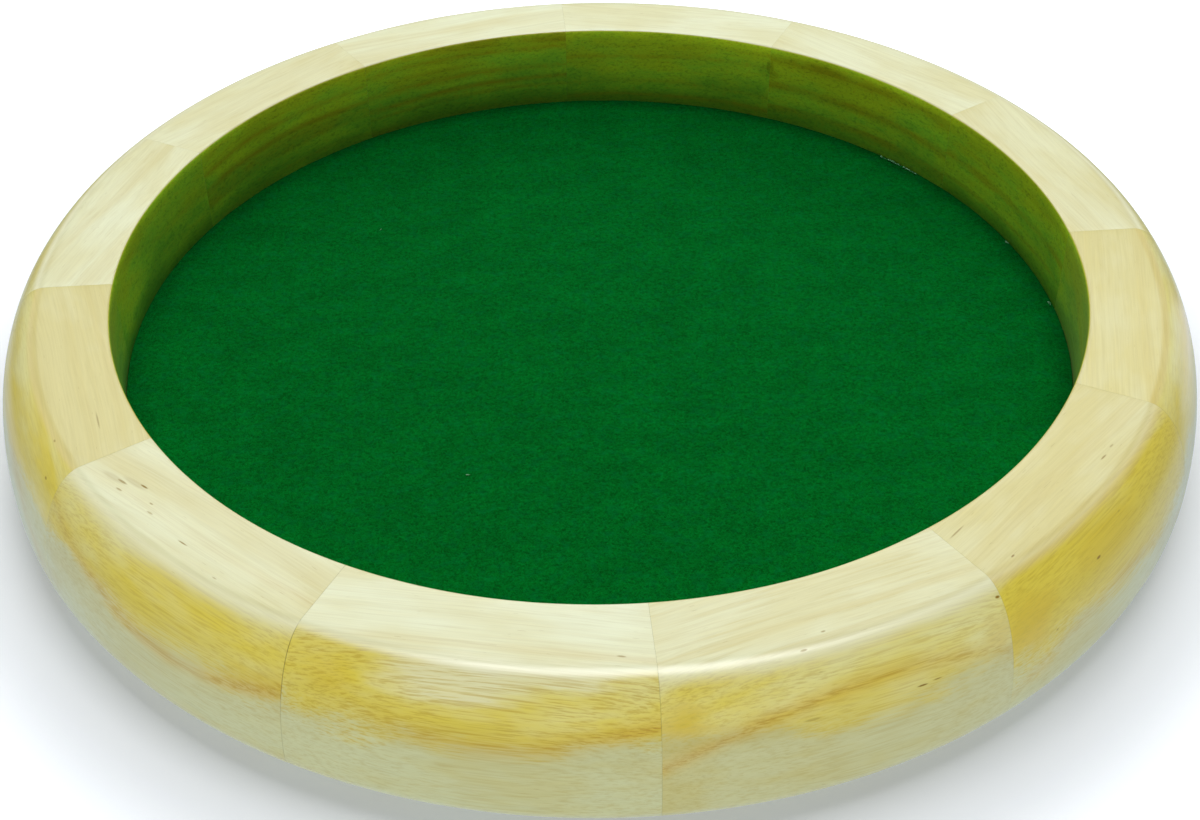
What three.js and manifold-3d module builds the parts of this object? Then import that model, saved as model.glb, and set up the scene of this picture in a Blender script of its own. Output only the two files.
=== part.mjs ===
// Round wooden dice tray: a ring of twelve glued wood segments round a felt-covered floor.
// Millimetres, +Z up. The origin is the centre of the circle that the ring stands on.

import * as THREE from 'three';
import { mergeVertices } from 'three/addons/utils/BufferGeometryUtils.js';
import Module from 'manifold-3d';

// --- Driving dimensions -------------------------------------------------------------------

const OUTER_RADIUS = 150;
const INNER_RADIUS = 120.5;
const RIM_HEIGHT = 38;
const SEGMENT_COUNT = 12;

const TOP_FLAT_RADIUS = 137.2;  // where the level top of the rim starts to roll over
const WIDEST_HEIGHT = 9.3;      // height above the table of the rim's widest line
const FOOT_RADIUS = 133.5;      // outer edge of the flat ring that the tray stands on
const INNER_EDGE_ROUNDING = 0.8;

const PLAY_DEPTH = 24;          // from the rim's top down to the felt
const FELT_THICKNESS = 1.7;
const PANEL_THICKNESS = 6;
const LEDGE_WIDTH = 4.5;        // how far the rim's rebate takes the floor panel in
const GLUE_GAP = 0.3;           // clearance between pieces that are glued together

// --- Dimensions that follow ---------------------------------------------------------------

const FELT_TOP = RIM_HEIGHT - PLAY_DEPTH;
const FELT_BOTTOM = FELT_TOP - FELT_THICKNESS;
const PANEL_TOP = FELT_BOTTOM - GLUE_GAP;
const PANEL_BOTTOM = PANEL_TOP - PANEL_THICKNESS;
const LEDGE_HEIGHT = PANEL_TOP + GLUE_GAP;
const REBATE_RADIUS = INNER_RADIUS + LEDGE_WIDTH;
const FELT_RADIUS = INNER_RADIUS - GLUE_GAP;
const PANEL_RADIUS = REBATE_RADIUS - GLUE_GAP;
const SEGMENT_ANGLE = (2 * Math.PI) / SEGMENT_COUNT;

// --- Fineness of the round shapes ---------------------------------------------------------

const STEPS_PER_SEGMENT = 10;
const RING_STEPS = SEGMENT_COUNT * STEPS_PER_SEGMENT;
const SHOULDER_STEPS = 10;
const UNDERCURVE_STEPS = 5;
const ROUNDING_STEPS = 2;

// --- Materials ----------------------------------------------------------------------------

const WOOD_TONES = [0xdccf94, 0xd6c27c, 0xe2d7a4, 0xd9c888];
const WOOD_ROUGHNESS = 0.34;
const PLYWOOD_COLOUR = 0xc9a873;
const PLYWOOD_ROUGHNESS = 0.75;
const FELT_COLOUR = 0x06562a;
const FELT_ROUGHNESS = 0.95;

function material(colour, roughness) {
  return new THREE.MeshStandardMaterial({ color: colour, roughness, metalness: 0 });
}

// --- Solids -------------------------------------------------------------------------------

const wasm = await Module();
wasm.setup();

function toSolid(geometry) {
  geometry.deleteAttribute('normal');
  geometry.deleteAttribute('uv');
  const merged = mergeVertices(geometry);
  return new wasm.Manifold(new wasm.Mesh({
    numProp: 3,
    vertProperties: new Float32Array(merged.attributes.position.array),
    triVerts: new Uint32Array(merged.index.array),
  }));
}

function toGeometry(solid) {
  const mesh = solid.getMesh();
  const geometry = new THREE.BufferGeometry();
  geometry.setAttribute('position', new THREE.BufferAttribute(mesh.vertProperties, 3));
  geometry.setIndex(new THREE.BufferAttribute(mesh.triVerts, 1));
  geometry.computeVertexNormals();
  return geometry;
}

// Revolves a closed outline of (radius, height) points about the Z axis.
function revolve(outline, steps) {
  const geometry = new THREE.LatheGeometry([...outline, outline[0].clone()], steps);
  geometry.rotateX(Math.PI / 2);
  return geometry;
}

function ellipseStretch(centre, radii, fromAngle, toAngle, steps) {
  const curve = new THREE.EllipseCurve(centre.x, centre.y, radii.x, radii.y, fromAngle, toAngle);
  return curve.getPoints(steps);
}

// --- Rim ----------------------------------------------------------------------------------

// The rim's section: level top, long bulging shoulder, tighter curve under it, flat foot,
// and a rebate on the inside for the floor panel.
function rimOutline() {
  const undercurve = ellipseStretch(
    new THREE.Vector2(FOOT_RADIUS, WIDEST_HEIGHT),
    new THREE.Vector2(OUTER_RADIUS - FOOT_RADIUS, WIDEST_HEIGHT),
    -Math.PI / 2, 0, UNDERCURVE_STEPS);
  const shoulder = ellipseStretch(
    new THREE.Vector2(TOP_FLAT_RADIUS, WIDEST_HEIGHT),
    new THREE.Vector2(OUTER_RADIUS - TOP_FLAT_RADIUS, RIM_HEIGHT - WIDEST_HEIGHT),
    0, Math.PI / 2, SHOULDER_STEPS);
  const innerEdge = ellipseStretch(
    new THREE.Vector2(INNER_RADIUS + INNER_EDGE_ROUNDING, RIM_HEIGHT - INNER_EDGE_ROUNDING),
    new THREE.Vector2(INNER_EDGE_ROUNDING, INNER_EDGE_ROUNDING),
    Math.PI / 2, Math.PI, ROUNDING_STEPS);
  return [
    new THREE.Vector2(REBATE_RADIUS, 0),
    ...undercurve,
    ...shoulder.slice(1),
    ...innerEdge,
    new THREE.Vector2(INNER_RADIUS, LEDGE_HEIGHT),
    new THREE.Vector2(REBATE_RADIUS, LEDGE_HEIGHT),
  ];
}

// A wedge that reaches from the axis past the rim, half a glue gap inside both seam planes.
function wedge(fromAngle) {
  const reach = 2 * OUTER_RADIUS;
  const middle = fromAngle + SEGMENT_ANGLE / 2;
  const setBack = GLUE_GAP / 2 / Math.sin(SEGMENT_ANGLE / 2);
  const tip = new THREE.Vector2(Math.cos(middle), Math.sin(middle)).multiplyScalar(setBack);
  const shape = new THREE.Shape();
  shape.moveTo(tip.x, tip.y);
  for (const angle of [fromAngle, fromAngle + SEGMENT_ANGLE]) {
    shape.lineTo(tip.x + reach * Math.cos(angle), tip.y + reach * Math.sin(angle));
  }
  const geometry = new THREE.ExtrudeGeometry(shape, { depth: 2 * RIM_HEIGHT, bevelEnabled: false });
  geometry.translate(0, 0, -RIM_HEIGHT / 2);
  return geometry;
}

function rimSegments() {
  const ring = toSolid(revolve(rimOutline(), RING_STEPS));
  const segments = [];
  for (let index = 0; index < SEGMENT_COUNT; index += 1) {
    const solid = ring.intersect(toSolid(wedge(index * SEGMENT_ANGLE)));
    const tone = WOOD_TONES[index % WOOD_TONES.length];
    const mesh = new THREE.Mesh(toGeometry(solid), material(tone, WOOD_ROUGHNESS));
    mesh.name = `rim_segment_${String(index + 1).padStart(2, '0')}`;
    segments.push(mesh);
  }
  return segments;
}

// --- Floor --------------------------------------------------------------------------------

function disc(name, radius, thickness, bottom, discMaterial) {
  const geometry = new THREE.CylinderGeometry(radius, radius, thickness, RING_STEPS);
  geometry.rotateX(Math.PI / 2);
  const mesh = new THREE.Mesh(geometry, discMaterial);
  mesh.name = name;
  mesh.position.z = bottom + thickness / 2;
  return mesh;
}

function floor() {
  const plywood = material(PLYWOOD_COLOUR, PLYWOOD_ROUGHNESS);
  const felt = material(FELT_COLOUR, FELT_ROUGHNESS);
  return [
    disc('floor_panel', PANEL_RADIUS, PANEL_THICKNESS, PANEL_BOTTOM, plywood),
    disc('felt_lining', FELT_RADIUS, FELT_THICKNESS, FELT_BOTTOM, felt),
  ];
}

// --- The tray -----------------------------------------------------------------------------

const tray = new THREE.Group();
tray.add(...rimSegments(), ...floor());

export default tray;
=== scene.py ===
"""Round wooden dice tray: twelve glued rubberwood segments round a felt-covered floor.

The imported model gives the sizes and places. Each rim segment and the felt are remade here as
finer meshes with their own materials, and a little lint is added on the felt. The floor panel
keeps its shape and gets a plywood finish.
"""

import math
import random

import bmesh
import bpy
from mathutils import Euler, Matrix, Vector, noise


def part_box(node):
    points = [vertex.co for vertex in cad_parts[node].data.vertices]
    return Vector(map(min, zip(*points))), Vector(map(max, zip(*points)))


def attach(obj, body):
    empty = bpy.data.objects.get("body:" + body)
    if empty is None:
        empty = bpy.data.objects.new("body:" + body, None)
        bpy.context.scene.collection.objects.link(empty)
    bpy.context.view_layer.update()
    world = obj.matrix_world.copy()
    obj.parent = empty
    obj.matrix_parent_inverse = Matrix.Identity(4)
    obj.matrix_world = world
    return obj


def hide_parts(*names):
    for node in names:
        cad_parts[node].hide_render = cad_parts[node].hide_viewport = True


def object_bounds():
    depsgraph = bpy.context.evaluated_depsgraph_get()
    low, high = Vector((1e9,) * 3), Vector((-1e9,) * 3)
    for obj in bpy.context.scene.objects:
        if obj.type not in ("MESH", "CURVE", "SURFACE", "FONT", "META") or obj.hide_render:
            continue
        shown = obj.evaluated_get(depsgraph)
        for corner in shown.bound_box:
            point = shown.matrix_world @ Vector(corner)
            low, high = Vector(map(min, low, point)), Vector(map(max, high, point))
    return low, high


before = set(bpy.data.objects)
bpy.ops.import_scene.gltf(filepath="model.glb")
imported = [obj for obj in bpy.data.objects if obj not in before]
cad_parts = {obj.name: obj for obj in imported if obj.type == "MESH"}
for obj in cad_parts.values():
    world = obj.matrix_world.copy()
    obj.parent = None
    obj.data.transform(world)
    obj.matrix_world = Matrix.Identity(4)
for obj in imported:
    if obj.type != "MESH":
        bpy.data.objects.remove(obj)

CAD_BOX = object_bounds()

# --- Sizes, in metres -----------------------------------------------------------------------

MM = 0.001
SEGMENT_COUNT = 12
SEGMENT_ANGLE = 2 * math.pi / SEGMENT_COUNT
SEGMENT_NAMES = [f"rim_segment_{number:02d}" for number in range(1, SEGMENT_COUNT + 1)]

OUTER_RADIUS = CAD_BOX[1].x
RIM_HEIGHT = CAD_BOX[1].z
FELT_LOW, FELT_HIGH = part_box("felt_lining")
PANEL_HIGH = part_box("floor_panel")[1]
PIECE_GAP = 0.3 * MM               # the CAD pieces' clearance from each other
INNER_RADIUS = FELT_HIGH.x + PIECE_GAP
FELT_CUT_RADIUS = INNER_RADIUS - 0.03 * MM   # the felt is cut to fill the ring
REBATE_RADIUS = PANEL_HIGH.x + PIECE_GAP
LEDGE_HEIGHT = PANEL_HIGH.z + PIECE_GAP
TOP_FLAT_RADIUS = 137.2 * MM       # where the level top starts to roll over
WIDEST_HEIGHT = 9.3 * MM           # height of the rim's widest line
FOOT_RADIUS = 133.5 * MM           # outer edge of the flat that the tray stands on
INNER_EDGE_ROUNDING = 0.8 * MM

SEAM_GAP = 0.02 * MM               # what is left between two glued segments
SEAM_EASE = 0.02 * MM              # how far a segment's edge drops at a seam
SEAM_EASE_WIDTH = 0.2 * MM
SANDING_DEPTH = 0.14 * MM          # how far hand sanding wanders below the true section
SANDING_LENGTH = 26 * MM
SANDING_RIPPLES = 3.1              # how many times shorter its ripples are

FELT_RAGGEDNESS = 0.1 * MM         # how far the felt's cut edge wanders inwards
FELT_RAGGED_WAVES = 14             # how often it does so, per radian
FELT_UNEVENNESS = 0.16 * MM        # how far the felt's top dips
FELT_DIP_LENGTH = 7 * MM
FELT_FINE_DIP_LENGTH = 2.6 * MM
FELT_MIDDLE_DIP = 0.1 * MM
FELT_EDGE_DROP = 0.08 * MM

# --- Fineness of the meshes -----------------------------------------------------------------

FOOT_STEPS = 4
UNDERCURVE_STEPS = 14
SHOULDER_STEPS = 34
TOP_STEPS = 8
INNER_EDGE_STEPS = 5
WALL_STEPS = 10
LEDGE_STEPS = 2
REBATE_STEPS = 5
SEGMENT_STEPS = 36                 # along a segment, from seam to seam
FELT_RINGS = 80
FELT_SPOKES = 360


# --- Outline of the rim's section -----------------------------------------------------------

def stretch(start, end, steps):
    """Points after start up to end along a straight line."""
    return [start.lerp(end, step / steps) for step in range(1, steps + 1)]


def ellipse_stretch(centre, radii, from_degrees, to_degrees, steps):
    """Points along an ellipse, after its first one."""
    points = []
    for step in range(1, steps + 1):
        angle = math.radians(from_degrees + (to_degrees - from_degrees) * step / steps)
        points.append(centre + Vector((radii.x * math.cos(angle), radii.y * math.sin(angle))))
    return points


def rim_outline():
    """The closed section as (radius, height) points, anticlockwise from the foot's inner edge."""
    foot = Vector((REBATE_RADIUS, 0))
    outline = [foot]
    outline += stretch(foot, Vector((FOOT_RADIUS, 0)), FOOT_STEPS)
    outline += ellipse_stretch(
        Vector((FOOT_RADIUS, WIDEST_HEIGHT)),
        Vector((OUTER_RADIUS - FOOT_RADIUS, WIDEST_HEIGHT)), -90, 0, UNDERCURVE_STEPS)
    outline += ellipse_stretch(
        Vector((TOP_FLAT_RADIUS, WIDEST_HEIGHT)),
        Vector((OUTER_RADIUS - TOP_FLAT_RADIUS, RIM_HEIGHT - WIDEST_HEIGHT)),
        0, 90, SHOULDER_STEPS)
    edge_centre = Vector((INNER_RADIUS + INNER_EDGE_ROUNDING, RIM_HEIGHT - INNER_EDGE_ROUNDING))
    outline += stretch(outline[-1], Vector((edge_centre.x, RIM_HEIGHT)), TOP_STEPS)
    outline += ellipse_stretch(
        edge_centre, Vector((INNER_EDGE_ROUNDING, INNER_EDGE_ROUNDING)),
        90, 180, INNER_EDGE_STEPS)
    ledge_corner = Vector((INNER_RADIUS, LEDGE_HEIGHT))
    outline += stretch(outline[-1], ledge_corner, WALL_STEPS)
    outline += stretch(ledge_corner, Vector((REBATE_RADIUS, LEDGE_HEIGHT)), LEDGE_STEPS)
    outline += stretch(outline[-1], foot, REBATE_STEPS)[:-1]
    return outline


def outline_normals(outline):
    """The outward direction at each point of an anticlockwise closed outline."""
    normals = []
    for index in range(len(outline)):
        along = outline[(index + 1) % len(outline)] - outline[index - 1]
        normals.append(Vector((along.y, -along.x)).normalized())
    return normals


OUTLINE = rim_outline()
OUTLINE_NORMALS = outline_normals(OUTLINE)


# --- Meshes ---------------------------------------------------------------------------------

def new_object(name, mesh_builder, material, sharp_angle=35):
    """Links a mesh object made by bmesh, smooth except across edges sharper than sharp_angle."""
    for edge in mesh_builder.edges:
        edge.smooth = edge.calc_face_angle(0) < math.radians(sharp_angle)
    for face in mesh_builder.faces:
        face.smooth = True
    mesh = bpy.data.meshes.new(name)
    mesh_builder.to_mesh(mesh)
    mesh_builder.free()
    mesh.materials.append(material)
    piece = bpy.data.objects.new(name, mesh)
    bpy.context.scene.collection.objects.link(piece)
    return piece


def sanded_depth(point, height):
    """How far sanding has taken the surface in at a point of the ring. The foot stays true."""
    slow = noise.noise(point / SANDING_LENGTH)
    quick = noise.noise(point * SANDING_RIPPLES / SANDING_LENGTH)
    wander = 0.5 + 0.4 * slow + 0.12 * quick
    return SANDING_DEPTH * max(wander, 0) * min(height / WIDEST_HEIGHT, 1)


def seam_steps(steps):
    """Shares from -1 to 1 along a segment, with an extra one close to each end."""
    ease = 2 * SEAM_EASE_WIDTH / (SEGMENT_ANGLE * OUTER_RADIUS)
    middle = [-1 + 2 * step / steps for step in range(1, steps)]
    return [-1, -1 + ease, *middle, 1 - ease, 1]


def segment_mesh(turn):
    """One rim segment, its middle turned by the angle turn about Z from +Y."""
    spin = Matrix.Rotation(turn, 3, "Z")
    builder = bmesh.new()
    rows = []
    for share in seam_steps(SEGMENT_STEPS):
        row = []
        for point, normal in zip(OUTLINE, OUTLINE_NORMALS):
            half = SEGMENT_ANGLE / 2 - math.asin(SEAM_GAP / 2 / point.x)
            angle = share * half
            outward = spin @ Vector((math.sin(angle), math.cos(angle), 0))
            place = outward * point.x + Vector((0, 0, point.y))
            depth = sanded_depth(place, point.y)
            if abs(share) == 1 and point.y > 0:
                depth += SEAM_EASE
            place -= (outward * normal.x + Vector((0, 0, normal.y))) * depth
            row.append(builder.verts.new(place))
        rows.append(row)
    for near, far in zip(rows, rows[1:]):
        for index in range(len(near)):
            after = (index + 1) % len(near)
            builder.faces.new((near[index], near[after], far[after], far[index]))
    builder.faces.new(rows[0][::-1])
    builder.faces.new(rows[-1])
    bmesh.ops.recalc_face_normals(builder, faces=builder.faces)
    return builder


def felt_point(ring, spoke):
    """A point of the felt's top, on one of its rings and spokes."""
    angle = 2 * math.pi * spoke / FELT_SPOKES
    outward = Vector((math.cos(angle), math.sin(angle), 0))
    radius = FELT_CUT_RADIUS * ring / FELT_RINGS
    edge_drop = 0
    if ring == FELT_RINGS:
        radius -= FELT_RAGGEDNESS * (0.5 + 0.5 * noise.noise(outward * FELT_RAGGED_WAVES))
        edge_drop = FELT_EDGE_DROP
    place = outward * radius
    uneven = 0.5 + 0.5 * noise.noise(place / FELT_DIP_LENGTH)
    uneven += 0.25 * noise.noise(place / FELT_FINE_DIP_LENGTH)
    place.z = FELT_HIGH.z - FELT_UNEVENNESS * max(uneven, 0) - edge_drop
    return place


def felt_mesh():
    """A thin disc whose top is softly uneven and whose cut edge is not quite true."""
    builder = bmesh.new()
    top_middle = builder.verts.new((0, 0, FELT_HIGH.z - FELT_MIDDLE_DIP))
    bottom_middle = builder.verts.new((0, 0, FELT_LOW.z))
    top_rows = []
    for ring in range(1, FELT_RINGS + 1):
        row = [builder.verts.new(felt_point(ring, spoke)) for spoke in range(FELT_SPOKES)]
        top_rows.append(row)
    edge_row = top_rows[-1]
    foot_row = []
    for corner in edge_row:
        foot_row.append(builder.verts.new((corner.co.x, corner.co.y, FELT_LOW.z)))
    for spoke in range(FELT_SPOKES):
        after = (spoke + 1) % FELT_SPOKES
        builder.faces.new((top_middle, top_rows[0][spoke], top_rows[0][after]))
        builder.faces.new((bottom_middle, foot_row[after], foot_row[spoke]))
        builder.faces.new((edge_row[after], edge_row[spoke], foot_row[spoke], foot_row[after]))
        for near, far in zip(top_rows, top_rows[1:]):
            builder.faces.new((near[spoke], far[spoke], far[after], near[after]))
    bmesh.ops.recalc_face_normals(builder, faces=builder.faces)
    return builder


# --- Material helpers -----------------------------------------------------------------------

def srgb(red, green, blue):
    """An 8-bit screen colour as the linear RGBA that a shader takes."""
    def linear(value):
        share = value / 255
        return share / 12.92 if share <= 0.04045 else ((share + 0.055) / 1.055) ** 2.4
    return (linear(red), linear(green), linear(blue), 1)


class Shading:
    """A Principled material and short calls that add nodes to it. Lengths are in millimetres."""

    def __init__(self, name):
        self.material = bpy.data.materials.new(name)
        self.material.use_nodes = True
        self.tree = self.material.node_tree
        self.shader = self.tree.nodes["Principled BSDF"]

    def add(self, kind, settings=None, **inputs):
        node = self.tree.nodes.new("ShaderNode" + kind)
        for key, value in (settings or {}).items():
            setattr(node, key, value)
        for key, value in inputs.items():
            self.feed(node.inputs[key.replace("_", " ")], value)
        return node

    def feed(self, socket, value):
        if isinstance(value, bpy.types.NodeSocket):
            self.tree.links.new(value, socket)
        else:
            socket.default_value = value

    def maths(self, operation, first, second=0.0, third=0.0):
        node = self.add("Math", {"operation": operation})
        for socket, value in zip(node.inputs, (first, second, third)):
            self.feed(socket, value)
        return node.outputs[0]

    def vector(self, operation, first, second=(0, 0, 0)):
        node = self.add("VectorMath", {"operation": operation})
        self.feed(node.inputs[0], first)
        self.feed(node.inputs[1], second)
        return node.outputs["Value" if operation == "LENGTH" else "Vector"]

    def blend(self, share, first, second, mode="MIX"):
        node = self.add("Mix", {"data_type": "RGBA", "blend_type": mode})
        self.feed(node.inputs[0], share)
        self.feed(node.inputs[6], first)
        self.feed(node.inputs[7], second)
        return node.outputs[2]

    def rise(self, value, start, end, low=0.0, high=1.0):
        """low up to start, high from end on, and a smooth slope between them."""
        node = self.add(
            "MapRange", {"interpolation_type": "SMOOTHSTEP"},
            Value=value, From_Min=start, From_Max=end, To_Min=low, To_Max=high)
        return node.outputs[0]

    def rise_evenly(self, value, start, end):
        """0 up to start, 1 from end on, and a straight slope between them."""
        return self.add("MapRange", Value=value, From_Min=start, From_Max=end).outputs[0]

    def between(self, share, first, second):
        """first where share is 1, second where it is 0."""
        return self.maths("MULTIPLY_ADD", share, first - second, second)

    def scale(self, colour, factor):
        node = self.add("VectorMath", {"operation": "SCALE"})
        self.feed(node.inputs[0], colour)
        self.feed(node.inputs["Scale"], factor)
        return node.outputs[0]

    def axis(self, place, letter):
        return self.add("SeparateXYZ", Vector=place).outputs[letter]

    def turned_about_z(self, vector, angle):
        node = self.add("VectorRotate", {"rotation_type": "Z_AXIS"}, Vector=vector, Angle=angle)
        return node.outputs[0]

    def spot(self, place, centre, reach):
        """1 near centre and 0 outside the ellipsoid about it with the half sizes reach."""
        offset = self.vector("SUBTRACT", place, centre)
        share = self.vector("LENGTH", self.vector("DIVIDE", offset, reach))
        return self.rise(share, 0.4, 1.0, 1.0, 0.0)

    def noise(self, place, per_mm, detail=2.0, roughness=0.5, output="Fac"):
        """Noise stretched by per_mm, its features per millimetre along X, Y and Z."""
        node = self.add("TexNoise", Vector=self.vector("MULTIPLY", place, per_mm),
                        Scale=1.0, Detail=detail, Roughness=roughness)
        return node.outputs[output]

    def centred_noise(self, place, per_mm, reach, detail, roughness=0.5):
        """A noise vector about zero, as far as half of reach each way."""
        raw = self.noise(place, per_mm, detail, roughness, output="Color")
        return self.vector("MULTIPLY", self.vector("SUBTRACT", raw, (0.5, 0.5, 0.5)), reach)

    def millimetres(self):
        """The place on the object in millimetres."""
        place = self.add("TexCoord").outputs["Object"]
        return self.vector("MULTIPLY", place, (1000, 1000, 1000))

    def bump(self, height, depth_mm, under=None):
        node = self.add("Bump", Height=height, Strength=1.0, Distance=depth_mm * MM)
        if under is not None:
            self.feed(node.inputs["Normal"], under)
        return node.outputs[0]


# --- Wood -----------------------------------------------------------------------------------

# the top's cream and the side's gold differ partly as painted light: the level top is paler as the
# lit face
TOP_CREAM = srgb(230, 234, 198)
TOP_STRAW = srgb(212, 203, 136)
TOP_LINE = srgb(207, 193, 120)
# painted light over the shoulder's roll, standing in for the lamps' glare in the lacquer
PAINTED_SHOULDER_LIGHT = srgb(243, 242, 202)
EDGE_GOLD = srgb(200, 186, 70)
SIDE_PALE = srgb(232, 228, 160)
SIDE_GOLD = srgb(228, 209, 74)
SIDE_LINE = srgb(196, 160, 22)
SIDE_OCHRE = srgb(212, 176, 42)
STAIN = srgb(214, 178, 14)
# painted glare: pale patches standing in for the lamps' reflection in the lacquer
PAINTED_GLARE = srgb(238, 238, 206)
# painted reflection of the white table low on the side, with tan patches
LOW_TABLE_REFLECTION = srgb(200, 204, 156)
LOW_TAN = srgb(194, 184, 112)
# the inner wall's painted light and shade: green bounce light from the felt, dark at the felt
WALL_GREEN_BOUNCE = srgb(130, 190, 44)
WALL_OLIVE_BOUNCE = srgb(162, 186, 28)
WALL_BROWN = srgb(128, 110, 0)
WALL_FOOT_SHADE = srgb(30, 96, 10)
STREAK = srgb(178, 132, 0)
PORE_TINT = (0.38, 0.25, 0.0, 1)
GLUE = srgb(84, 62, 0)

SECTION_MIDDLE_MM = (0, 135, 19)   # about the middle of the rim's section
SEGMENT_HALF_LENGTH_MM = 37
SEED_STEP_MM = 97.0                # how far apart along the noise the segments' grains lie
LAYERS_PER_MM = 0.17               # growth layers, outward from the pith
LAYER_SEED_STEP = 7.3              # how many layers apart the segments lie


class Rubberwood(Shading):
    """Clear-lacquered rubberwood for one rim segment, its grain running along the chord.

    The segment's own frame has +Y through its middle and +X toward its clockwise end. look is
    one of SEGMENT_LOOKS, and turn is the angle about Z from +Y to the segment's middle.
    """

    def __init__(self, name, look, turn):
        super().__init__(name)
        self.look = {**PLAIN_LOOK, **look}
        self.turn = turn
        self.lean = (0, look["climb"], look["drift"])
        self.lay_out_grain()
        self.lay_out_surface()
        # the cream top against the gold side is partly painted light: the top is the lit face
        colour = self.blend(self.on_top, self.side_colour(), self.top_colour())
        colour = self.with_edge_line(colour)
        colour = self.with_stains_and_glare(colour)
        colour = self.with_growth_bands(colour)
        pores = self.pores()
        colour = self.blend(pores, colour, PORE_TINT, "MULTIPLY")
        colour = self.scale(colour, self.rise(self.hairs, 0.3, 0.7, 1.02, 0.96))
        colour = self.scale(colour, self.rise(self.lines, 0.3, 0.7, 1.01, 0.98))
        self.lacquer(self.with_glue_line(colour), pores)

    def lay_out_grain(self):
        """place is in the segment's frame, turned leans with the grain, and along is 1 at the
        clockwise end. The rest is noise about 0.5: broad clouds and patches, growth layers, and
        lines and hairs that run with the grain. depth is the distance from the pith."""
        look = self.look
        self.place = self.vector(
            "SUBTRACT", self.turned_about_z(self.millimetres(), -self.turn), SECTION_MIDDLE_MM)
        turned = self.add("VectorRotate", {"rotation_type": "EULER_XYZ"}, Vector=self.place)
        turned.inputs["Rotation"].default_value = self.lean
        self.turned = turned.outputs[0]
        own_stretch = (look["seed"] * SEED_STEP_MM, 0, 0)
        self.grain = self.vector("ADD", self.turned, own_stretch)
        self.along = self.rise_evenly(
            self.axis(self.place, "X"), -SEGMENT_HALF_LENGTH_MM, SEGMENT_HALF_LENGTH_MM)

        warp = self.centred_noise(
            self.grain, (0.014, 0.05, 0.05), (0, look["wild"], look["wild"]), detail=2.0)
        bent = self.vector("ADD", self.turned, warp)
        across = self.vector("MULTIPLY", bent, (0, 1, 1))
        self.depth = self.vector("LENGTH", self.vector("SUBTRACT", across, (0, *look["pith"])))
        growth = self.maths(
            "MULTIPLY_ADD", self.depth, LAYERS_PER_MM, look["seed"] * LAYER_SEED_STEP)
        self.layers = self.add("TexNoise", {"noise_dimensions": "1D"}, W=growth,
                               Scale=1.0, Detail=3.0, Roughness=0.55).outputs["Fac"]

        bent = self.vector("ADD", bent, own_stretch)
        self.hairs = self.noise(bent, (0.06, 2.7, 2.7), detail=3.0, roughness=0.6)
        self.lines = self.noise(bent, (0.016, 0.9, 0.9), detail=3.0, roughness=0.6)
        self.clouds = self.noise(self.grain, (0.03, 0.07, 0.07), detail=3.0, roughness=0.55)
        self.patches = self.noise(self.grain, (0.035, 0.12, 0.12), detail=3.0, roughness=0.6)

    def lay_out_surface(self):
        """Where the colours lie. facing is 1 on the level top and 0 where the side is upright,
        made ragged by the grain, and outward is 1 on the outside and -1 on the inner wall.
        on_top, low and inside are 1 on the top, low on the side and on the inner wall."""
        look = self.look
        normal = self.turned_about_z(self.add("TexCoord").outputs["Normal"], -self.turn)
        level = self.axis(normal, "Z")
        self.outward = self.axis(normal, "Y")
        ragged = self.maths("MULTIPLY_ADD", self.hairs, 0.24, -0.37)
        ragged = self.maths("MULTIPLY_ADD", self.clouds, 0.5, ragged)
        steep = self.maths("SUBTRACT", 1.0, self.maths("MULTIPLY", level, level))
        self.facing = self.maths("MULTIPLY_ADD", ragged, steep, level)
        shoulder = self.between(self.along, *look["shoulder"])
        inner_edge = self.rise(self.outward, -0.15, -0.05, 0.24, 0.0)
        shoulder = self.maths("SUBTRACT", shoulder, inner_edge)
        past_shoulder = self.maths("SUBTRACT", self.facing, shoulder)
        self.on_top = self.rise(past_shoulder, -look["soft"], 0.04)
        self.low = self.rise(self.facing, look["lower"] - 0.07, look["lower"] + 0.07, 1.0, 0.0)
        self.inside = self.rise(self.outward, -0.97, -0.7, 1.0, 0.0)

    def side_colour(self):
        """Gold where the side curves over, with painted shade as it turns from the light, a
        painted reflection of the white table low down, and painted green bounce light from the
        felt on the inner wall.
        """
        look = self.look
        gold = self.between(self.along, *look["gold"])
        gold = self.maths("ADD", gold, self.rise(self.patches, 0.3, 0.7, -0.3, 0.25))
        gold = self.maths("ADD", gold, self.rise(self.layers, 0.35, 0.65, -0.15, 0.15))
        # painted shade: the side turns more gold as it turns from the light
        gold = self.maths("ADD", gold, self.rise(self.facing, 0.45, 0.95, 0.2, -0.2))
        side = self.blend(self.rise(gold, 0.0, 1.3), SIDE_PALE, SIDE_GOLD)
        side = self.blend(self.rise(self.outward, -0.3, 0.0, 1.0, 0.0), side, EDGE_GOLD)
        side = self.blend(self.rise(self.hairs, 0.46, 0.66, 0.0, look["hairy"]), side, SIDE_LINE)
        # painted shade: darker low on the side
        side = self.scale(side, self.rise(self.facing, 0.25, 0.6, 0.92, 1.0))
        # painted reflection of the white table low on the side
        side = self.blend(self.maths("MULTIPLY", self.low, 0.85), side, self.low_reflection_colour())
        # painted green bounce light from the felt on the inner wall
        green = self.maths("MULTIPLY", self.inside, self.between(self.along, *look["green"]))
        return self.blend(green, side, self.wall_colour())

    def low_reflection_colour(self):
        """Painted reflection of the white table: pale, with tan patches and hairs."""
        tan = self.maths("ADD", self.rise(self.patches, 0.4, 0.7, 0.0, 0.5), self.look["tan"])
        tan = self.maths("ADD", tan, self.rise(self.hairs, 0.45, 0.7, 0.0, 0.35))
        return self.blend(tan, LOW_TABLE_REFLECTION, LOW_TAN)

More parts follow.
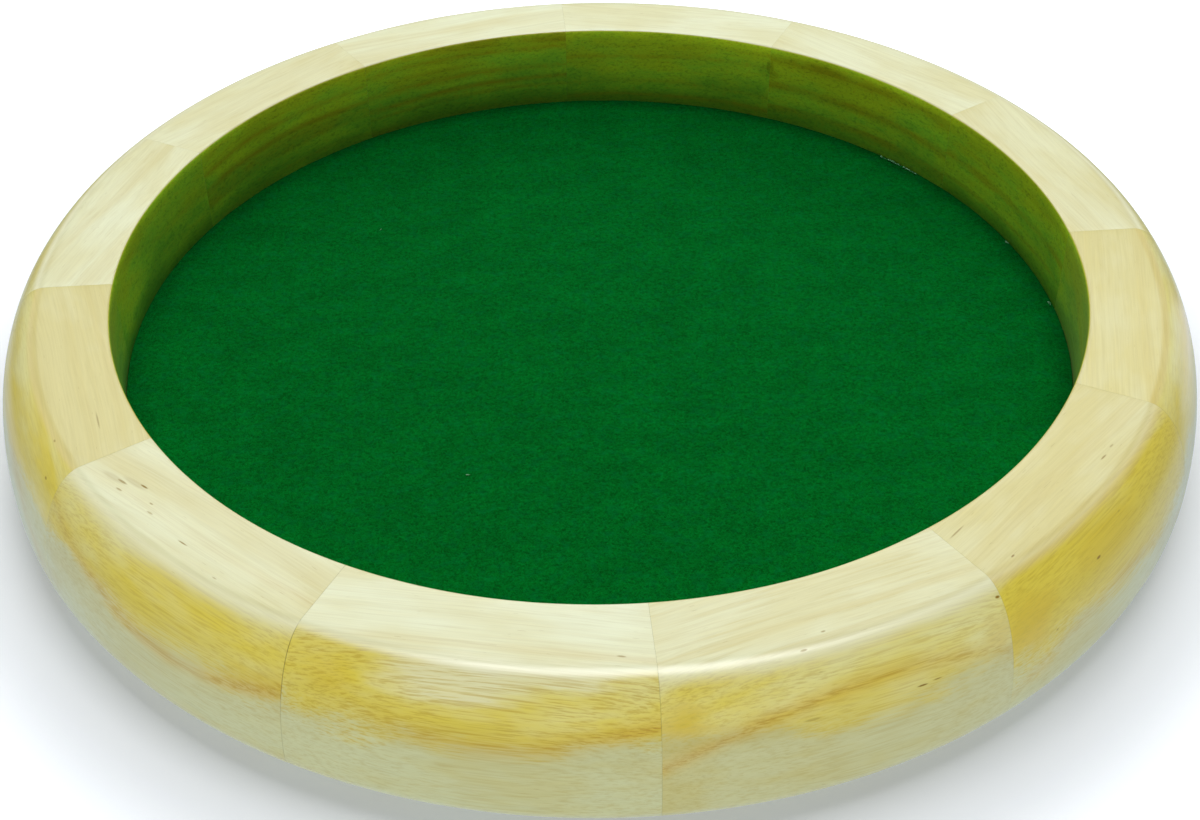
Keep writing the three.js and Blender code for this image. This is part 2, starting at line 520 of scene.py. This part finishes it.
    def wall_colour(self):
        """Green to olive from the felt up, as painted green bounce light from the felt, and
        browner along the figure. Painted shade makes it dark at the felt, and painted light makes
        it lightest just under the top edge."""
        look = self.look
        height = self.axis(self.place, "Z")
        wavy = self.maths("ADD", height, self.rise(self.patches, 0.3, 0.7, -9, 9))
        # painted light and shade: green bounce from the felt, olive higher up, and darker toward
        # the felt
        wall = self.blend(self.rise(wavy, -4, 20), WALL_GREEN_BOUNCE, WALL_OLIVE_BOUNCE)
        wall = self.scale(wall, self.rise(wavy, -10, 10, 0.75, 1.1))
        figure = self.rise(self.layers, 0.42, 0.7, 0.0, look["wall"])
        figure = self.maths("MULTIPLY", figure, self.rise(self.patches, 0.3, 0.7, 0.1, 0.8))
        wall = self.blend(figure, wall, WALL_BROWN)
        mottle = self.noise(self.grain, (0.7, 1.5, 1.5), detail=3.0, roughness=0.75)
        wall = self.blend(self.rise(mottle, 0.5, 0.7, 0.0, 0.5), wall, WALL_BROWN)
        wall = self.scale(wall, self.rise(self.clouds, 0.3, 0.7, 0.88, 1.1))
        wall = self.scale(wall, self.rise(mottle, 0.3, 0.6, 0.7, 1.18))
        # painted light just under the top edge
        wall = self.scale(wall, self.rise(height, 15.5, 18.5, 1.0, 1.25))
        # painted shade where the wall meets the felt
        return self.blend(self.rise(height, -5, 2, look["foot"], 0.0), wall, WALL_FOOT_SHADE)

    def top_colour(self):
        """Cream to straw with faint lines, with painted light where the shoulder starts."""
        look = self.look
        straw = self.maths("ADD", look["straw"], self.rise(self.clouds, 0.3, 0.7, -0.25, 0.25))
        top = self.blend(straw, TOP_CREAM, TOP_STRAW)
        top = self.blend(self.rise(self.lines, 0.48, 0.7, 0.0, look["lined"]), top, TOP_LINE)
        top = self.blend(self.rise(self.layers, 0.5, 0.68, 0.0, 0.3), top, TOP_LINE)
        top = self.blend(self.rise(self.hairs, 0.52, 0.78, 0.0, 0.18), top, TOP_LINE)
        # painted light over the shoulder's roll, standing in for the lamps' glare
        shoulder_lit = self.rise(self.facing, 0.93, 0.999, 1.0, 0.0)
        shoulder_lit = self.maths("MULTIPLY", shoulder_lit, self.rise(self.outward, 0.0, 0.05))
        return self.blend(shoulder_lit, top, PAINTED_SHOULDER_LIGHT)

    def with_edge_line(self, colour):
        """An ochre line on the outside where the top's colour gives way to the side's."""
        line = self.maths("MULTIPLY", self.on_top, self.maths("SUBTRACT", 1.0, self.on_top))
        # line is a quarter at its strongest
        outside = self.rise(self.outward, 0.0, 0.1, 0.0, 4 * self.look["edge"])
        return self.blend(self.maths("MULTIPLY", line, outside), colour, SIDE_OCHRE)

    def with_stains_and_glare(self, colour):
        """Ochre stains and patches of painted glare, their outlines broken up along the grain."""
        scatter = self.centred_noise(
            self.grain, (0.06, 0.25, 0.25), (16, 8, 8), detail=3.0, roughness=0.6)
        scattered = self.vector("ADD", self.place, scatter)
        fading = self.rise(self.low, 0.0, 1.0, 1.0, 0.2)
        # the ochre stains are the wood's own colour; the pale patches are painted glare from the
        # lamps
        for patches, tint in ((self.look["stains"], STAIN), (self.look["painted_glare"], PAINTED_GLARE)):
            for middle, reach, strength in patches:
                centre = Vector(middle) - Vector(SECTION_MIDDLE_MM)
                stain = self.maths("MULTIPLY", self.spot(scattered, centre, reach), fading)
                streaky = self.rise(self.hairs, 0.35, 0.7, strength, 0.4 * strength)
                colour = self.blend(self.maths("MULTIPLY", stain, streaky), colour, tint)
        return colour

    def with_growth_bands(self, colour):
        """Growth layers that show: soft ochre bands, each with a thinner brown core."""
        look = self.look
        band = 0.0
        core = self.rise(self.layers, 0.58, 0.68, 0.0, 0.2)
        for size in look["bands"]:
            gap = self.maths("ABSOLUTE", self.maths("SUBTRACT", self.depth, size))
            band = self.maths("MAXIMUM", band, self.rise(gap, 0.0, 2.0, 0.6, 0.0))
            core = self.maths("MAXIMUM", core, self.rise(gap, 0.0, 0.9, 1.0, 0.0))
        strength = self.between(self.along, *look["streak"])
        strength = self.maths("MULTIPLY", strength, self.rise(self.on_top, 0, 1, 1, 0.2))
        strength = self.maths("MULTIPLY", strength, self.rise(self.patches, 0.3, 0.6, 0.4, 1.0))
        ochre = self.blend(self.inside, SIDE_OCHRE, WALL_BROWN)
        colour = self.blend(self.maths("MULTIPLY", band, strength), colour, ochre)
        core = self.maths("MULTIPLY", core, self.rise(self.hairs, 0.35, 0.65, 0.05, 0.6))
        return self.blend(self.maths("MULTIPLY", core, strength), colour, STREAK)

    def pores(self):
        """Open pores: rare faint dashes along the grain, and the bold ones one by one."""
        specks = self.noise(self.grain, (0.4, 4.5, 4.5), detail=0.0)
        pores = self.rise(specks, 0.8, 0.88, 0.0, 0.25)
        for *middle, length, half_width, darkness in self.look["marks"]:
            offset = Vector(middle) - Vector(SECTION_MIDDLE_MM)
            centre = Euler(self.lean).to_matrix() @ offset
            mark = self.spot(self.turned, centre, (length / 2, half_width, half_width))
            pores = self.maths("MAXIMUM", pores, self.maths("MULTIPLY", mark, darkness))
        return pores

    def with_glue_line(self, colour):
        """A dark line along both seams, faint at most of them."""
        outward = self.maths("ADD", self.axis(self.place, "Y"), SECTION_MIDDLE_MM[1])
        outward = self.maths("MULTIPLY", outward, math.sin(SEGMENT_ANGLE / 2))
        sideways = self.maths("ABSOLUTE", self.axis(self.place, "X"))
        sideways = self.maths("MULTIPLY", sideways, math.cos(SEGMENT_ANGLE / 2))
        to_seam = self.maths("SUBTRACT", outward, sideways)
        seam = self.rise(to_seam, 0.03, 0.16, 1.0, 0.0)
        seam = self.maths("MULTIPLY", seam, self.between(self.along, *self.look["glue"]))
        seam = self.maths("MULTIPLY", seam, self.rise(self.on_top, 0.0, 1.0, 0.8, 0.2))
        seam = self.maths("MULTIPLY", seam, self.rise(self.low, 0.0, 1.0, 1.0, 0.4))
        return self.blend(seam, colour, GLUE)

    def lacquer(self, colour, pores):
        """A clear satin coat over the colour, both uneven with the grain."""
        shader = self.shader
        self.feed(shader.inputs["Base Color"], colour)
        self.feed(shader.inputs["Roughness"], self.rise(self.lines, 0.3, 0.7, 0.5, 0.6))
        shader.inputs["Specular IOR Level"].default_value = 0.3
        shader.inputs["Coat Weight"].default_value = 1.0
        shader.inputs["Coat IOR"].default_value = 1.5
        shader.inputs["Coat Roughness"].default_value = 0.24
        relief = self.maths("SUBTRACT", self.hairs, pores)
        self.feed(shader.inputs["Normal"], self.bump(relief, 0.02, self.bump(self.lines, 0.01)))
        self.feed(shader.inputs["Coat Normal"], self.bump(relief, 0.02))


# What a segment's look says. Pairs give the value at the clockwise end and at the other end.
#   seed           picks the segment's own stretch of the noise
#   straw, lined   how deep the top's colour is, and how marked its lines are
#   gold, hairy    how deep the side's gold is, and how marked its fine lines are
#   shoulder       how level the surface is where the top's colour gives way to the side's
#   soft, edge     how wide that change is, and how strong the ochre line along it is
#   lower, tan     how level the side is where it turns pale with the painted reflection of the table, and how much of that is tan
#   wall, foot     how brown the inner wall's figure is, and how dark the painted shade at its foot by the felt is
#   green          how far the inner wall is green-gold with painted bounce light from the felt, and not the colour of the side
#   glue           how dark the glue line is
#   pith           where the pith line lies: out and up from the section's middle, in mm
#   climb, drift   how far the grain rises off the chord and turns off it, in radians
#   wild           how far the grain wanders, in mm
#   bands, streak  the growth layers that show, by their radius in mm, and how strong they are
#   stains         ochre patches: middle and half sizes in mm, and strength
#   painted_glare  patches of painted glare from the lamps, given in the same way
#   marks          bold pores: x, y, z, length and half width in mm, and darkness
# PLAIN_LOOK gives what a segment's own look leaves out.
PLAIN_LOOK = dict(
    lined=0.12, hairy=0.25, soft=0.1, edge=0.0, lower=0.29, tan=0.0, foot=0.35,
    green=(1, 1), glue=(0.1, 0.1), stains=(), painted_glare=(), marks=())

# One look for each segment, anticlockwise from +X.
SEGMENT_LOOKS = [
    dict(seed=1, straw=0.6, gold=(0.3, 0.3), shoulder=(0.9, 0.9), wall=0.5, foot=0.6,
         pith=(-38, -60), climb=0.02, drift=0.02, wild=5, bands=(70,), streak=(0.3, 0.3)),
    dict(seed=2, straw=0.4, gold=(0.4, 0.3), shoulder=(0.9, 0.9), wall=0.8,
         pith=(-15, -60), climb=-0.02, drift=0.03, wild=4, bands=(67,), streak=(0.5, 0.5),
         marks=((-30.9, 116.4, 30.5, 3.0, 3.6, 0.5), (-30.2, 116.6, 29, 7, 1.8, 0.4))),
    dict(seed=3, straw=0.2, gold=(0.3, 0.3), shoulder=(0.9, 0.9), wall=0.4,
         pith=(-15, -50), climb=0.03, drift=0.0, wild=5, bands=(47, 61), streak=(0.4, 0.4),
         marks=((30.9, 116.4, 31, 2.0, 3.2, 0.5), (29.6, 116.8, 29.6, 6, 2.4, 0.2))),
    dict(seed=4, straw=0.1, gold=(0.3, 0.3), shoulder=(0.9, 0.9), wall=0.9,
         pith=(-20, -60), climb=0.0, drift=-0.02, wild=4, bands=(64, 68, 74), streak=(0.6, 0.6)),
    dict(seed=5, straw=0.4, gold=(0.3, 0.4), shoulder=(0.9, 0.9), wall=0.7,
         pith=(-8, -30), climb=0.03, drift=0.02, wild=7, bands=(38, 43), streak=(0.6, 0.6)),
    dict(seed=6, straw=0.3, gold=(0.3, 0.3), shoulder=(0.9, 0.92), wall=0.3, foot=0.7,
         glue=(0.1, 0.0),
         pith=(30, 50), climb=-0.04, drift=0.12, wild=6, bands=(60,), streak=(0.3, 0.3)),
    dict(seed=7, straw=1.05, gold=(0.7, 0.9), shoulder=(0.98, 0.98), hairy=0.1, edge=0.3,
         wall=0.3, foot=0.8, green=(1.0, 0.6), glue=(0.0, 0.1),
         pith=(-90, 4), climb=0.01, drift=0.0, wild=4, bands=(102,), streak=(0.3, 0.3),
         marks=((-21, 127, 38, 8, 0.27, 0.5), (-31.5, 140.5, 33.5, 1.4, 0.41, 0.75),
                (-24.5, 137, 37.6, 1.2, 0.32, 0.5))),
    dict(seed=8, straw=0.4, gold=(0.8, 1.0), shoulder=(0.97, 0.985), soft=0.3, hairy=0.3,
         wall=0.4, green=(0.6, 0.4), glue=(0.05, 0.8),
         pith=(-40, -40), climb=0.01, drift=-0.03, wild=4, bands=(69,), streak=(0.4, 0.9),
         stains=(((-34, 147, 26), (12, 5, 6), 0.6),),
         marks=((19.5, 128, 38, 3, 0.32, 1), (24.5, 130, 38, 4, 0.41, 0.75),
                (22, 128.6, 38, 9, 1.0, 0.2), (27, 130.3, 38, 9, 1.1, 0.2),
                (23, 132, 38, 2.5, 0.32, 0.62), (-0.5, 134, 38, 4, 0.27, 0.88),
                (14, 130.5, 38, 1.5, 0.27, 0.62), (12, 132.5, 38, 2.5, 0.32, 0.5),
                (7, 138.5, 38, 1.5, 0.27, 0.62), (-13.5, 136.5, 38, 2, 0.27, 0.5))),
    dict(seed=9, straw=0.2, gold=(0.9, 0.7), shoulder=(0.97, 0.95), hairy=0.5,
         wall=0.4, green=(0.4, 0.3), glue=(0.4, 0.15),
         pith=(-60, -60), climb=0.01, drift=-0.03, wild=3, bands=(98,), streak=(0.0, 0.9),
         stains=(((28, 144, 34), (10, 7, 6), 0.22), ((-33, 146, 28), (9, 5, 5), 0.35)),
         # its pale patches are painted glare from the lamps on the shoulder
         painted_glare=(((3, 142, 36), (19, 9, 6), 0.6), ((-20, 140, 38), (26, 6, 3.5), 0.5)),
         marks=((-28.5, 132, 38, 2.5, 0.32, 0.62),)),
    dict(seed=10, straw=0.4, lined=0.3, gold=(0.6, 0.45), shoulder=(0.96, 0.95), soft=0.3,
         hairy=0.3, tan=0.35, wall=0.4, green=(0.3, 0.4), glue=(0.2, 0.05),
         pith=(-40, 20), climb=0.04, drift=-0.04, wild=3, bands=(51,), streak=(0.9, 0.5),
         stains=(((35, 146, 28), (10, 8, 11), 0.55), ((-36, 144, 32), (8, 6, 6), 0.4)),
         marks=((2, 136, 38, 1.4, 0.32, 0.62), (7.5, 139, 37.6, 2, 0.32, 0.62),
                (-15.6, 146.5, 26.5, 3.4, 0.27, 1), (-18.8, 146, 26.6, 3.4, 0.24, 0.88),
                (-36, 137.5, 35.5, 1.6, 0.41, 1), (8, 147, 26.5, 6, 0.41, 0.38))),
    dict(seed=11, straw=0.9, gold=(1.3, 1.1), shoulder=(1.0, 1.0), soft=0.22, edge=0.3,
         hairy=0.3, lower=0.17, wall=0.4, green=(0.4, 0.6),
         pith=(-60, 22), climb=-0.02, drift=0.02, wild=4, bands=(76,), streak=(0.3, 0.3),
         stains=(((33, 145, 29), (11, 9, 11), 0.5), ((4, 145, 32), (17, 7, 8), 0.25)),
         marks=((28.5, 122, 38, 7, 0.27, 0.62), (-12, 134, 38, 3, 0.28, 0.75),
                (-16.5, 133.5, 38, 2, 0.27, 0.5), (27.5, 134.5, 38, 1.6, 0.32, 0.88),
                (9, 145.5, 30.5, 2, 0.41, 0.88), (-2.5, 143.5, 34.5, 2, 0.32, 0.62),
                (25.5, 146.5, 22.5, 1.4, 0.41, 0.75), (16, 148.5, 20, 1.4, 0.41, 0.75))),
    dict(seed=12, straw=1.0, lined=0.1, gold=(0.9, 0.6), shoulder=(1.0, 0.99), hairy=0.1,
         edge=0.3, wall=0.3, foot=0.5, green=(0.6, 1.0),
         pith=(-80, -30), climb=0.0, drift=0.01, wild=3, bands=(110,), streak=(0.1, 0.1)),
]


# --- Felt -----------------------------------------------------------------------------------

FELT_DARK = srgb(0, 68, 13)
FELT_MID = srgb(0, 90, 24)
FELT_LIGHT = srgb(0, 108, 38)
FELT_TEAL = srgb(0, 92, 40)
FELT_SHEEN = srgb(40, 160, 90)
# the ways the felt's fibres lie: an angle in radians and a shift in mm for each
FIBRE_LAYERS = ((0.1, 3), (1.2, 11), (2.2, 29))


def felt_material():
    """Pressed green wool felt: short fibres lying every way, in soft clumps, with painted shade at
    the rim.
    """
    felt = Shading("green_felt")
    place = felt.millimetres()
    fibres = 0.0
    for angle, shift in FIBRE_LAYERS:
        lying = felt.vector("ADD", felt.turned_about_z(place, angle), (shift, shift, 0))
        strand = felt.noise(lying, (0.9, 4.2, 1.0), detail=2.0, roughness=0.6)
        fibres = felt.maths("MAXIMUM", fibres, strand)
    clumps = felt.noise(place, (0.9, 1.1, 0.9), detail=3.0, roughness=0.7)
    patches = felt.noise(place, (0.07, 0.1, 0.07), detail=4.0, roughness=0.6)
    elsewhere = felt.vector("ADD", place, (300, 0, 0))
    tints = felt.noise(elsewhere, (0.3, 0.35, 0.3), detail=3.0, roughness=0.7)
    colour = felt.blend(felt.rise(fibres, 0.46, 0.7), FELT_DARK, FELT_LIGHT)
    colour = felt.blend(felt.rise(clumps, 0.3, 0.7, 0.1, 0.5), colour, FELT_MID)
    colour = felt.blend(felt.rise(tints, 0.45, 0.7, 0.0, 0.5), colour, FELT_TEAL)
    colour = felt.scale(colour, felt.rise(patches, 0.3, 0.7, 0.93, 1.13))
    colour = felt.scale(colour, felt.rise(clumps, 0.35, 0.65, 0.84, 1.18))
    # painted shade on the felt close to the wall
    from_middle = felt.vector("LENGTH", felt.vector("MULTIPLY", place, (1, 1, 0)))
    colour = felt.scale(colour, felt.rise(from_middle, 112, 120, 1.0, 0.78))
    felt.feed(felt.shader.inputs["Base Color"], colour)
    felt.feed(felt.shader.inputs["Roughness"], felt.rise(fibres, 0.4, 0.8, 1.0, 0.9))
    felt.shader.inputs["Specular IOR Level"].default_value = 0.02
    felt.shader.inputs["Sheen Weight"].default_value = 0.05
    felt.shader.inputs["Sheen Roughness"].default_value = 0.6
    felt.shader.inputs["Sheen Tint"].default_value = FELT_SHEEN
    under = felt.bump(clumps, 0.25)
    felt.feed(felt.shader.inputs["Normal"], felt.bump(fibres, 0.14, under))
    return felt.material


# --- Lint -----------------------------------------------------------------------------------

LINT_TINT = srgb(150, 206, 164)
LINT_SEED = 5
LINT_STEPS = 5                     # along a fibre
LINT_SIDES = 6                     # round a fibre
# where lint lies: degrees about Z, millimetres from the middle, how many fibres, their spread
LINT_PLACES = [(-124.2, 63.5, 2, 0.2), (137, 78.3, 2, 0.2), (40, 119.7, 9, 2.2),
               (38.4, 119.8, 12, 2.0), (36.6, 119.8, 12, 2.0), (35, 119.7, 7, 1.8),
               (14.8, 119.8, 3, 0.8), (0.8, 119.8, 4, 0.8)]


def add_fibre(builder, spin, middle, heading, bend, length, thickness):
    """A short bent fibre about the point middle, all of it then turned by spin."""
    rings = []
    for step in range(LINT_STEPS + 1):
        share = step / LINT_STEPS
        turned = heading + bend * share
        along = Vector((math.cos(turned), math.sin(turned), 0))
        across = Vector((-along.y, along.x, 0))
        place = middle + along * length * (share - 0.5)
        waist = thickness * (0.4 + math.sin(math.pi * share))
        ring = []
        for corner in range(LINT_SIDES):
            angle = 2 * math.pi * corner / LINT_SIDES
            offset = across * math.cos(angle) + Vector((0, 0, math.sin(angle)))
            ring.append(builder.verts.new(spin @ (place + offset * waist)))
        rings.append(ring)
    for near, far in zip(rings, rings[1:]):
        for corner in range(LINT_SIDES):
            after = (corner + 1) % LINT_SIDES
            builder.faces.new((near[corner], near[after], far[after], far[corner]))
    builder.faces.new(rings[0][::-1])
    builder.faces.new(rings[-1])


def lint_mesh():
    """Loose specks on the felt and the frayed places along its edge."""
    chance = random.Random(LINT_SEED)
    builder = bmesh.new()
    for degrees, radius, count, spread in LINT_PLACES:
        spin = Matrix.Rotation(math.radians(degrees), 3, "Z")
        for _ in range(count):
            heading = math.pi / 2 + chance.uniform(-0.5, 0.5)
            bend = chance.uniform(-1.2, 1.2)
            length = chance.uniform(0.5, 1.1) * MM
            thickness = chance.uniform(0.05, 0.09) * MM
            middle = Vector((radius * MM - chance.uniform(0, 0.35) * MM,
                             chance.uniform(-spread, spread) * MM,
                             FELT_HIGH.z + chance.uniform(0.12, 0.4) * MM))
            add_fibre(builder, spin, middle, heading, bend, length, thickness)
    bmesh.ops.recalc_face_normals(builder, faces=builder.faces)
    return builder


def lint_material():
    """Pale green-white wool lint."""
    lint = Shading("pale_lint")
    fluff = lint.noise(lint.millimetres(), (3.0, 3.0, 3.0), detail=2.0)
    colour = lint.blend(lint.rise(fluff, 0.3, 0.7), LINT_TINT, FELT_LIGHT)
    lint.feed(lint.shader.inputs["Base Color"], colour)
    lint.feed(lint.shader.inputs["Roughness"], lint.rise(fluff, 0.3, 0.7, 0.8, 1.0))
    lint.feed(lint.shader.inputs["Normal"], lint.bump(fluff, 0.03))
    return lint.material


# --- Floor panel ----------------------------------------------------------------------------

PLY_PALE = srgb(214, 184, 136)
PLY_DEEP = srgb(186, 148, 98)


def plywood_material():
    """Bare birch plywood with a wandering rotary-cut grain."""
    ply = Shading("bare_plywood")
    place = ply.millimetres()
    warp = ply.noise(place, (0.006, 0.02, 0.02), detail=2.0, output="Color")
    bent = ply.vector("ADD", place, ply.vector("MULTIPLY", warp, (0, 70, 0)))
    figure = ply.noise(bent, (0.004, 0.11, 0.1), detail=4.0, roughness=0.55)
    fibres = ply.noise(place, (0.05, 2.2, 1.0), detail=3.0, roughness=0.65)
    colour = ply.blend(ply.rise(figure, 0.35, 0.65), PLY_PALE, PLY_DEEP)
    colour = ply.scale(colour, ply.rise(fibres, 0.3, 0.7, 1.08, 0.86))
    ply.feed(ply.shader.inputs["Base Color"], colour)
    ply.feed(ply.shader.inputs["Roughness"], ply.rise(fibres, 0.3, 0.7, 0.7, 0.85))
    ply.feed(ply.shader.inputs["Normal"], ply.bump(fibres, 0.06))
    return ply.material


# --- The tray -------------------------------------------------------------------------------

def make_segments():
    for index, (node, look) in enumerate(zip(SEGMENT_NAMES, SEGMENT_LOOKS)):
        turn = (index + 0.5) * SEGMENT_ANGLE - math.pi / 2
        wood = Rubberwood(f"rubberwood_{index + 1:02d}", look, turn)
        piece = new_object(f"wood_{node}", segment_mesh(turn), wood.material)
        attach(piece, "root")
        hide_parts(node)


def make_floor():
    felt = new_object("felt_disc", felt_mesh(), felt_material())
    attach(felt, "root")
    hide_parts("felt_lining")
    lint = new_object("lint", lint_mesh(), lint_material())
    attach(lint, "root")
    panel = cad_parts["floor_panel"]
    panel.data.materials.clear()
    panel.data.materials.append(plywood_material())


# --- Camera ---------------------------------------------------------------------------------

CAMERA_AZIMUTH = math.radians(-4.36)
CAMERA_ELEVATION = math.radians(34.69)
CAMERA_DISTANCE = 451.3 * MM       # from the middle of the rim's top
CAMERA_ROLL = math.radians(-0.62)
CAMERA_AIM = 60.3 * MM             # the aim lies this far in front of that middle
CAMERA_LENS_MM = 53.68
CAMERA_SENSOR_MM = 36
CAMERA_NEAREST = 10 * MM


def make_camera():
    toward = Vector((math.sin(CAMERA_AZIMUTH), -math.cos(CAMERA_AZIMUTH), 0))
    middle = Vector((0, 0, RIM_HEIGHT))
    place = middle + CAMERA_DISTANCE * (
        toward * math.cos(CAMERA_ELEVATION) + Vector((0, 0, math.sin(CAMERA_ELEVATION))))
    aim = middle + toward * CAMERA_AIM
    camera = bpy.data.objects.new("camera", bpy.data.cameras.new("camera"))
    camera.data.lens = CAMERA_LENS_MM
    camera.data.sensor_width = CAMERA_SENSOR_MM
    camera.data.clip_start = CAMERA_NEAREST
    turn = (aim - place).to_track_quat("-Z", "Y").to_matrix()
    turn = turn @ Matrix.Rotation(CAMERA_ROLL, 3, "Z")
    camera.matrix_world = Matrix.Translation(place) @ turn.to_4x4()
    bpy.context.scene.collection.objects.link(camera)
    bpy.context.scene.camera = camera


# --- Light ----------------------------------------------------------------------------------

ROOM_TINT = (0.9, 0.95, 1, 1)
ROOM_STRENGTH = 0.11
TRAY_MIDDLE = (0, 0, 0)


def area_light(name, place, aim, size, power):
    light = bpy.data.lights.new(name, "AREA")
    light.shape = "RECTANGLE"
    light.size, light.size_y = size
    light.energy = power
    lamp = bpy.data.objects.new(name, light)
    lamp.location = place
    lamp.rotation_euler = (Vector(aim) - Vector(place)).to_track_quat("-Z", "Y").to_euler()
    bpy.context.scene.collection.objects.link(lamp)
    return lamp


def make_light():
    """Two broad lights that the lacquer mirrors, and three that only fill the shade."""
    area_light("overhead", (0.08, 0.08, 1.4), TRAY_MIDDLE, (0.85, 0.6), power=12)
    area_light("rear_high", (0.1, 1.0, 1.12), TRAY_MIDDLE, (1.5, 0.6), power=4.8)
    fills = [
        area_light("rear_low", (0.25, 1.4, 0.65), TRAY_MIDDLE, (1.6, 0.6), power=14),
        area_light("front_low", (0, -1.2, 0.08), (0, 0, 0.03), (1.6, 0.14), power=5),
        area_light("left_low", (-1.4, 0.1, 0.4), TRAY_MIDDLE, (1.6, 0.5), power=3.8),
    ]
    for lamp in fills:
        lamp.visible_glossy = False
    world = bpy.data.worlds.new("soft_room")
    world.use_nodes = True
    world.node_tree.nodes["Background"].inputs["Color"].default_value = ROOM_TINT
    world.node_tree.nodes["Background"].inputs["Strength"].default_value = ROOM_STRENGTH
    bpy.context.scene.world = world
    bpy.context.scene.view_settings.view_transform = "Standard"


# --- Table and backdrop ---------------------------------------------------------------------

TABLE_RADIUS = 0.5
TABLE_GREY = (0.52, 0.53, 0.54, 1)
TABLE_GLOW = (0.92, 0.98, 1.06, 1)
ROOM_RADIUS = 3

SHEEN_RADIUS = 0.21
SHEEN_DROP = 1 * MM                # how far under the table's surface the sheen lies
SHEEN_GLOW = (0.86, 1.0, 1.14, 1)

TRAY_RIGHT_END = Vector((0.142, -0.044, 1 * MM))
PANE_HEADING = math.radians(38)
PANE_START = 60 * MM               # how far from the tray's right end the pane's strip starts
PANE_DISTANCE = 0.2                # how far from it the pane stands
PANE_WIDTH = 0.055
PANE_HEIGHT = 0.09
PANE_GLOW = (0.7, 0.76, 1.0, 1)


def glow_material(name, colour, strength):
    """A black surface that gives off light."""
    glow = Shading(name)
    glow.shader.inputs["Base Color"].default_value = (0, 0, 0, 1)
    glow.shader.inputs["Emission Color"].default_value = colour
    glow.shader.inputs["Emission Strength"].default_value = strength
    return glow.material


def flat_disc(radius):
    builder = bmesh.new()
    bmesh.ops.create_circle(builder, cap_ends=True, segments=96, radius=radius)
    return builder


def show_only_in_reflections(piece):
    piece.visible_camera = False
    piece.visible_diffuse = False
    piece.visible_shadow = False


def make_table():
    """A white table that glows more away from the tray, so that it pales into the backdrop."""
    paper = Shading("white_table")
    paper.shader.inputs["Base Color"].default_value = TABLE_GREY
    paper.shader.inputs["Roughness"].default_value = 0.7
    paper.shader.inputs["Emission Color"].default_value = TABLE_GLOW
    from_middle = paper.vector("LENGTH", paper.millimetres())
    glow = paper.rise(from_middle, 150, 200, 0.3, 0.9)
    paper.feed(paper.shader.inputs["Emission Strength"], glow)
    table = new_object("table", flat_disc(TABLE_RADIUS), paper.material)
    table.visible_glossy = False


def make_table_sheen():
    """What the lacquer mirrors of the table: only its bright part, close about the tray."""
    material = glow_material("table_sheen", SHEEN_GLOW, 0.6)
    sheen = new_object("table_sheen", flat_disc(SHEEN_RADIUS), material)
    sheen.location.z = -SHEEN_DROP
    show_only_in_reflections(sheen)


def make_pane():
    """A low bright pane off to the right and the strip before it: a pale patch in the lacquer."""
    along = Vector((math.cos(PANE_HEADING), math.sin(PANE_HEADING), 0))
    across = Vector((-along.y, along.x, 0)) * PANE_WIDTH / 2
    near = TRAY_RIGHT_END + along * PANE_START
    far = TRAY_RIGHT_END + along * PANE_DISTANCE
    top = far + Vector((0, 0, PANE_HEIGHT))
    builder = bmesh.new()
    for low_edge, high_edge in ((near, far), (far, top)):
        corners = (low_edge - across, low_edge + across, high_edge + across, high_edge - across)
        builder.faces.new([builder.verts.new(corner) for corner in corners])
    pane = new_object("pane", builder, glow_material("pane", PANE_GLOW, 1.1))
    show_only_in_reflections(pane)


def make_backdrop():
    """A white room that only the camera sees."""
    builder = bmesh.new()
    bmesh.ops.create_uvsphere(builder, u_segments=64, v_segments=32, radius=ROOM_RADIUS)
    material = glow_material("white_backdrop", (1, 1, 1, 1), 1)
    backdrop = new_object("backdrop", builder, material)
    backdrop.visible_diffuse = False
    backdrop.visible_glossy = False
    backdrop.visible_shadow = False


make_camera()
make_light()
make_table()
make_table_sheen()
make_pane()
make_backdrop()
make_segments()
make_floor()
